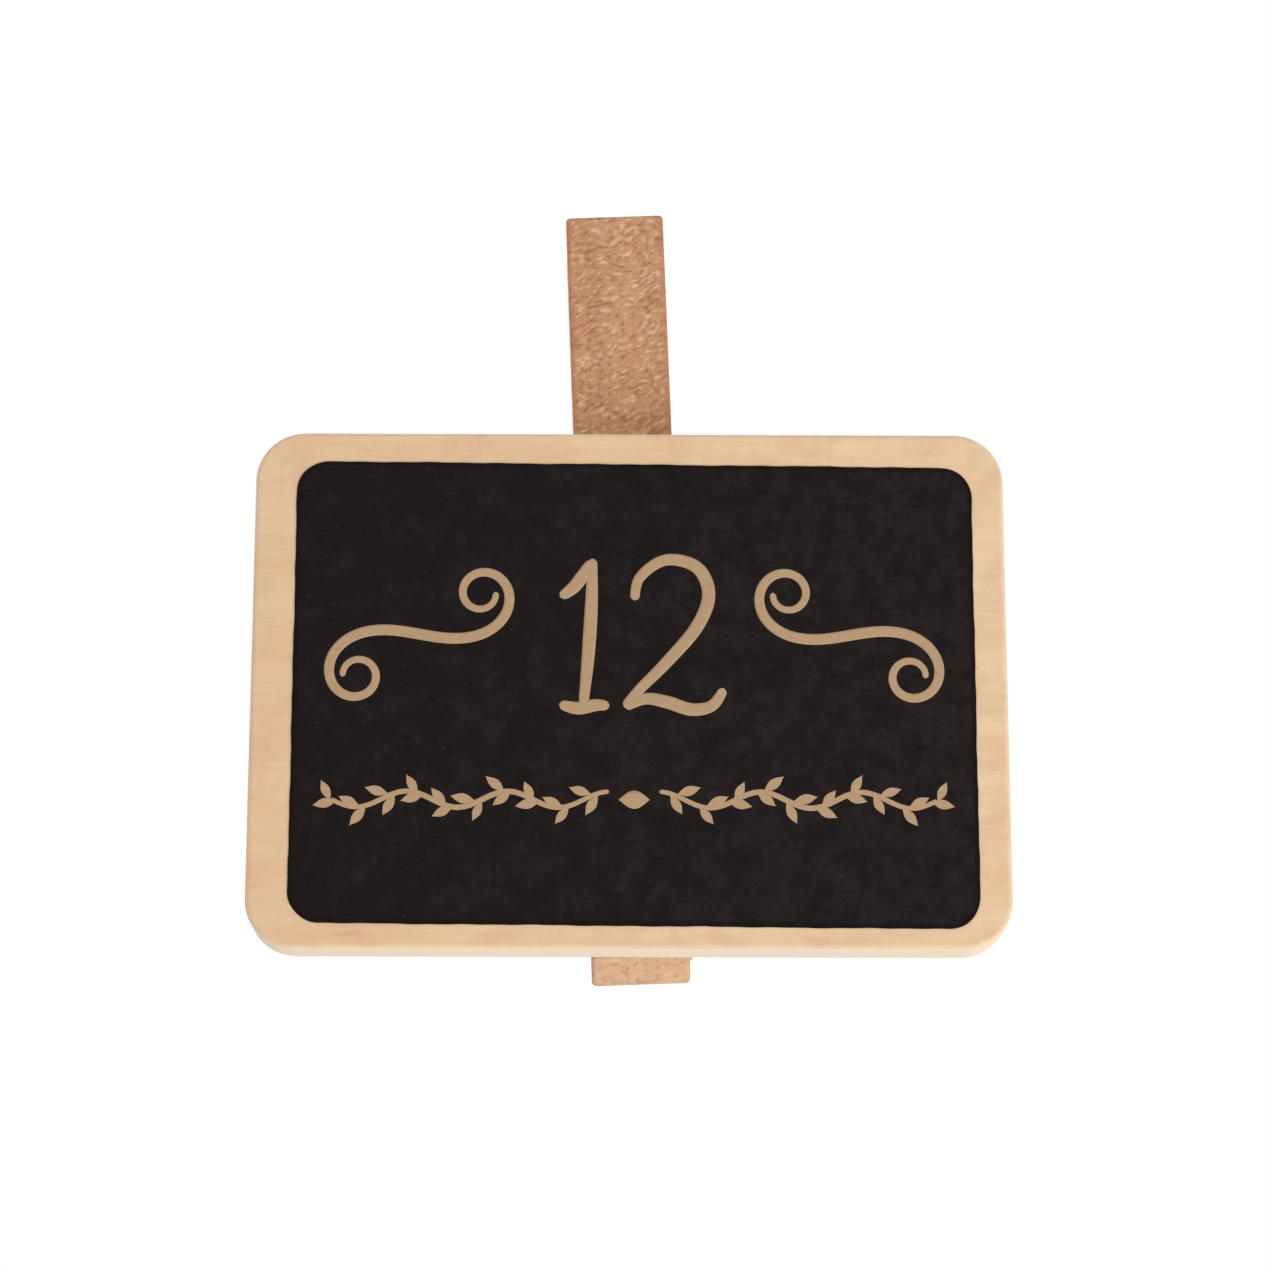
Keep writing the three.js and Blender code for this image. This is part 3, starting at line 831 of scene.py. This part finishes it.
def peg_half_outline(peg, spring):
    """Side view of a peg half: height above the pivot against depth from the middle plane,
    out along the outside from tip to handle and back along the inside."""
    tip = -peg.pivot_from_tip
    end = tip + peg.length
    inner = peg.jaw_gap / 2
    seat = spring.coil_radius + spring.wire / 2 + peg.play
    taper = math.atan((OUTER_DEPTH - peg.handle_end) / end)
    notch_reach = math.sqrt(peg.notch_radius ** 2 - inner ** 2)
    notch = tip + peg.mouth + peg.jaw + notch_reach
    notch_edge = math.asin(inner / peg.notch_radius)
    seat_edge = math.asin(inner / seat)
    slot_half = spring.wire / 2 + peg.play
    slot_floor = OUTER_DEPTH - spring.inset - spring.wire - peg.play
    slot = -spring.crossbar_drop
    points = [(tip, OUTER_DEPTH),
              (slot - slot_half - spring.slot_flare, OUTER_DEPTH),
              (slot - slot_half, slot_floor),
              (slot + slot_half, slot_floor),
              (slot + slot_half + spring.slot_flare, OUTER_DEPTH),
              (end, OUTER_DEPTH),
              (end, OUTER_DEPTH - peg.handle_end)]
    points += arc((0, 0), seat, taper, math.pi - seat_edge, BORE_STEPS)
    points += arc((notch, 0), peg.notch_radius, notch_edge, math.pi - notch_edge, BORE_STEPS)
    points += [(tip + peg.mouth, inner), (tip, OUTER_DEPTH - peg.lip)]
    return points


def make_peg_half(peg, spring, side, name, node, body, material):
    """One half of the peg: side is -1 in front of the middle plane and 1 behind it."""
    outline = peg_half_outline(peg, spring)
    half_width = peg.width / 2
    shape = prism([[(across, side * depth, up) for up, depth in outline]
                   for across in (-half_width, half_width)])[0]
    corners = [edge for edge in shape.edges if edge.calc_face_angle() > TUMBLED_CORNER]
    bmesh.ops.bevel(shape, geom=corners, offset=peg.arris, segments=3, profile=0.5,
                    affect="EDGES", clamp_overlap=True)
    piece = add_piece(name, finished_mesh(shape, name), material)
    flatten_shading(piece)
    places = [coordinate / MM for vertex in piece.data.vertices for coordinate in vertex.co]
    piece.data.attributes.new("peg_place", "FLOAT_VECTOR", "POINT").data.foreach_set("vector", places)
    piece.data.transform(PEG_TO_FRAME)
    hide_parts(node)
    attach(piece, body)


BEND_STEPS = 10
STEPS_PER_TURN = 40


def spring_path(peg, spring):
    """Middle line of the wire about the coil's centre: front crossbar, leg, coil, leg, rear crossbar."""
    armway = peg.width / 2 + spring.side_clearance + spring.wire / 2
    bar_depth = OUTER_DEPTH - spring.inset - spring.wire / 2
    anchor = Vector((-bar_depth, -spring.crossbar_drop))
    touch_turn = math.atan2(anchor.y, anchor.x) % (2 * math.pi)
    touch_turn -= math.acos(spring.coil_radius / anchor.length)
    touch = Vector((math.cos(touch_turn), math.sin(touch_turn))) * spring.coil_radius
    leg = (touch - anchor).normalized()
    arm = [Vector((peg.width / 2 - spring.crossbar_inset, anchor.x, anchor.y))]
    for step in range(BEND_STEPS + 1):
        turn = math.pi / 2 * step / BEND_STEPS
        along = leg * spring.bend_radius * (1 - math.cos(turn))
        across = -armway + spring.bend_radius * (1 - math.sin(turn))
        arm.append(Vector((across, anchor.x + along.x, anchor.y + along.y)))
    sweep = math.pi - 2 * touch_turn - spring.turns * 2 * math.pi
    steps = STEPS_PER_TURN * (spring.turns + 1)
    path = list(arm)
    for step in range(steps + 1):
        share = step / steps
        turn = touch_turn + sweep * share
        path.append(Vector((armway * (2 * share - 1), spring.coil_radius * math.cos(turn),
                            spring.coil_radius * math.sin(turn))))
    path += [Vector((-point.x, -point.y, point.z)) for point in reversed(arm)]
    return path


def wire_tree():
    """A round wire along the edges of a path."""
    tree, inputs = new_geometry_tree("wire along a path", [
        ("Wire diameter", "NodeSocketFloat", 1.3 * MM), ("Sides", "NodeSocketInt", 20)])
    radius = add_node(tree, "ShaderNodeMath", {0: inputs["Wire diameter"], 1: 0.5}, operation="MULTIPLY")
    path = add_node(tree, "GeometryNodeMeshToCurve", {"Mesh": inputs["Geometry"]})
    section = add_node(tree, "GeometryNodeCurvePrimitiveCircle", {
        "Resolution": inputs["Sides"], "Radius": radius})
    wire = add_node(tree, "GeometryNodeCurveToMesh", {
        "Curve": path, "Profile Curve": section, "Fill Caps": True})
    end_geometry_tree(tree, wire, inputs["Material"])
    return tree


def make_spring(peg, spring):
    """The torsion spring as one wire. On the real peg its front arm stays with the sign, its rear arm turns
    with the rear half, and the coil between them winds up; this mesh is fixed to neither half and does not
    bend."""
    path = spring_path(peg, spring)
    mesh = bpy.data.meshes.new("torsion_spring")
    mesh.from_pydata([PEG_TO_FRAME @ point for point in path],
                     [(i, i + 1) for i in range(len(path) - 1)], [])
    piece = add_piece("torsion_spring", mesh)
    run_tree(piece, wire_tree(), {"Wire diameter": spring.wire, "Material": zinc_plated_wire(spring)})
    piece.data.shade_smooth()
    piece.data.set_sharp_from_angle(angle=SHARP_CORNER)
    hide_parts("peg_spring")
    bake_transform(piece)


# The glue

GLUE_WAVES = (4.3, 9.1, 2.7)
GLUE_EDGE_STEP = 0.4 * MM


def make_glue(peg, glue, node, material):
    """A film of glue pressed out between board and peg, with an uneven edge."""
    low, high = (Vector(corner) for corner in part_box(node))
    middle = (low + high) / 2
    half_width = peg.width / 2 - glue.margin
    half_height = (high.z - low.z) / 2
    outline = rounded_rectangle(-half_width, half_width, -half_height, half_height, glue.corner_radius)
    outline = wavering(resampled(outline, GLUE_EDGE_STEP), glue.wobble, GLUE_WAVES)
    mesh = plate_mesh(node + "_film", outline, low.y, high.y, ("front", "back"), glue.arris, steps=2)
    mesh.transform(Matrix.Translation((middle.x, 0, middle.z)) @ PEG_LEAN)
    piece = add_piece(node + "_film", mesh, material)
    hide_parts(node)
    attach(piece, "sign")


# The stage

# Each lamp's name, place and size in metres, and brightness
SOFTBOXES = (
    ("key", (0.39, -0.37, -0.38), 0.36, 0.51),
    ("fill", (-0.25, -0.60, 0.60), 0.7, 0.11),
    ("back", (-0.35, 0.85, 0.55), 0.7, 0.28))


def white_world(stage):
    """Plain even light. The camera, gloss and glass see pure white."""
    world = bpy.data.worlds.new("studio")
    bpy.context.scene.world = world
    world.use_nodes = True
    tree = world.node_tree
    rays = add_node(tree, "ShaderNodeLightPath").outputs
    seen = add_node(tree, "ShaderNodeMath", {
        0: rays["Is Camera Ray"], 1: rays["Is Glossy Ray"]}, operation="MAXIMUM")
    seen = add_node(tree, "ShaderNodeMath", {0: seen, 1: rays["Is Transmission Ray"]}, operation="MAXIMUM")
    strength = add_node(tree, "ShaderNodeMath", {
        0: seen, 1: 1 - stage.ambient, 2: stage.ambient}, operation="MULTIPLY_ADD")
    fill_inputs(tree, tree.nodes["Background"], {"Color": (1, 1, 1, 1), "Strength": strength})


def add_softbox(name, place, size, brightness):
    """A square lamp that faces the sign, adds this share of full brightness to a face turned to it,
    and is seen by no camera."""
    lamp = bpy.data.lights.new(name, "AREA")
    lamp.shape = "SQUARE"
    lamp.size = size
    away = Vector(place) - BOARD_CENTRE
    # From d metres away, P watts light a white face turned to the lamp to P / (pi d)^2.
    lamp.energy = brightness * (math.pi * away.length) ** 2
    lamp_object = bpy.data.objects.new(name, lamp)
    lamp_object.location = place
    lamp_object.rotation_euler = away.to_track_quat("Z", "Y").to_euler()
    lamp_object.visible_camera = False
    bpy.context.scene.collection.objects.link(lamp_object)


def pale_floor(stage):
    """Matt white floor paint, rolled on: plain to the eye, with no gloss and a very faint mottle."""
    material, tree, shader = new_material("pale_floor", {"Roughness": 0.9})
    place = add_node(tree, "ShaderNodeTexCoord").outputs["Object"]
    tooth = add_node(tree, "ShaderNodeTexNoise", {"Vector": place, "Scale": per_mm(25)})
    brightness = add_node(tree, "ShaderNodeMapRange", {"Value": tooth, "To Min": 0.985, "To Max": 1.0})
    tone = add_node(tree, "ShaderNodeVectorMath", {
        0: stage.floor[:3], "Scale": brightness}, operation="SCALE")
    fill_inputs(tree, shader, {"Base Color": tone})
    return material


def add_floor(stage):
    """A round floor far below the sign."""
    shape = bmesh.new()
    bmesh.ops.create_circle(shape, cap_ends=True, segments=96, radius=stage.floor_radius)
    mesh = bpy.data.meshes.new("floor")
    shape.to_mesh(mesh)
    shape.free()
    mesh.transform(Matrix.Translation((0, 0, -stage.floor_drop)))
    add_piece("floor", mesh, pale_floor(stage))


def add_camera(stage):
    """The photograph's view: straight at the sign, from a little below it."""
    aim = Vector((BOARD_CENTRE.x + stage.aim_across, BOARD_LOW.y, BOARD_CENTRE.z + stage.aim_up))
    level = math.cos(stage.camera_below)
    toward = Vector((math.sin(stage.camera_left) * level, math.cos(stage.camera_left) * level,
                     math.sin(stage.camera_below)))
    right = toward.cross(Vector((0, 0, 1))).normalized()
    up = right.cross(toward)
    turned = Matrix((right, up, -toward)).transposed() @ Matrix.Rotation(stage.camera_roll, 3, "Z")
    lens = bpy.data.cameras.new("camera")
    lens.sensor_fit = "HORIZONTAL"
    lens.sensor_width = 36
    lens.lens = stage.lens
    lens.clip_start = 0.01
    camera = bpy.data.objects.new("camera", lens)
    camera.matrix_world = Matrix.Translation(aim - toward * stage.camera_distance) @ turned.to_4x4()
    bpy.context.scene.collection.objects.link(camera)
    bpy.context.scene.camera = camera


# Operators and panel

class TABLESIGN_OT_board(bpy.types.Operator):
    """Make the wooden plaque"""
    bl_idname = "tablesign.board"
    bl_label = "Plaque"

    def execute(self, context):
        make_board(context.scene.sign_board)
        return {"FINISHED"}


class TABLESIGN_OT_panel(bpy.types.Operator):
    """Make the painted writing panel"""
    bl_idname = "tablesign.panel"
    bl_label = "Painted panel"

    def execute(self, context):
        make_panel(context.scene.sign_panel)
        return {"FINISHED"}


class TABLESIGN_OT_print(bpy.types.Operator):
    """Print the number and its ornaments on the panel"""
    bl_idname = "tablesign.print"
    bl_label = "Printed number"

    def execute(self, context):
        make_print(context.scene.sign_panel)
        return {"FINISHED"}


class TABLESIGN_OT_peg(bpy.types.Operator):
    """Make both halves of the peg"""
    bl_idname = "tablesign.peg"
    bl_label = "Peg halves"

    def execute(self, context):
        peg, spring = context.scene.sign_peg, context.scene.sign_spring
        beech = flecked_beech(peg)
        make_peg_half(peg, spring, -1, "front_half", "front_peg_half", "sign", beech)
        make_peg_half(peg, spring, 1, "rear_half", "rear_peg_half", "rear_half", beech)
        return {"FINISHED"}


class TABLESIGN_OT_spring(bpy.types.Operator):
    """Make the torsion spring"""
    bl_idname = "tablesign.spring"
    bl_label = "Spring"

    def execute(self, context):
        make_spring(context.scene.sign_peg, context.scene.sign_spring)
        return {"FINISHED"}


class TABLESIGN_OT_glue(bpy.types.Operator):
    """Make the two films of glue"""
    bl_idname = "tablesign.glue"
    bl_label = "Glue"

    def execute(self, context):
        peg, glue = context.scene.sign_peg, context.scene.sign_glue
        material = dried_wood_glue(glue)
        make_glue(peg, glue, "lower_glue", material)
        make_glue(peg, glue, "upper_glue", material)
        return {"FINISHED"}


class TABLESIGN_OT_stage(bpy.types.Operator):
    """Set up the floor, the light and the photograph's camera"""
    bl_idname = "tablesign.stage"
    bl_label = "Stage"

    def execute(self, context):
        stage = context.scene.sign_stage
        white_world(stage)
        for name, place, size, brightness in SOFTBOXES:
            add_softbox(name, place, size, brightness)
        add_floor(stage)
        add_camera(stage)
        context.scene.view_settings.view_transform = "Standard"
        return {"FINISHED"}


STEPS = (TABLESIGN_OT_board, TABLESIGN_OT_panel, TABLESIGN_OT_print, TABLESIGN_OT_peg,
         TABLESIGN_OT_spring, TABLESIGN_OT_glue, TABLESIGN_OT_stage)

SETTINGS = {"sign_board": BoardSettings, "sign_panel": PanelSettings, "sign_peg": PegSettings,
            "sign_spring": SpringSettings, "sign_glue": GlueSettings, "sign_stage": StageSettings}


class TABLESIGN_PT_steps(bpy.types.Panel):
    """Lists the steps that make the sign"""
    bl_idname = "TABLESIGN_PT_steps"
    bl_label = "Table sign"
    bl_space_type = "VIEW_3D"
    bl_region_type = "UI"
    bl_category = "Table sign"

    def draw(self, context):
        for step in STEPS:
            self.layout.operator(step.bl_idname)


def register():
    for name, group in SETTINGS.items():
        bpy.utils.register_class(group)
        setattr(bpy.types.Scene, name, PointerProperty(type=group))
    for step in STEPS:
        bpy.utils.register_class(step)
    bpy.utils.register_class(TABLESIGN_PT_steps)


def unregister():
    bpy.utils.unregister_class(TABLESIGN_PT_steps)
    for step in reversed(STEPS):
        bpy.utils.unregister_class(step)
    for name, group in SETTINGS.items():
        delattr(bpy.types.Scene, name)
        bpy.utils.unregister_class(group)


def main():
    register()
    bpy.ops.tablesign.board()
    bpy.ops.tablesign.panel()
    bpy.ops.tablesign.print()
    bpy.ops.tablesign.peg()
    bpy.ops.tablesign.spring()
    bpy.ops.tablesign.glue()
    bpy.ops.tablesign.stage()
    bpy.context.view_layer.update()


if __name__ == "__main__":
    main()
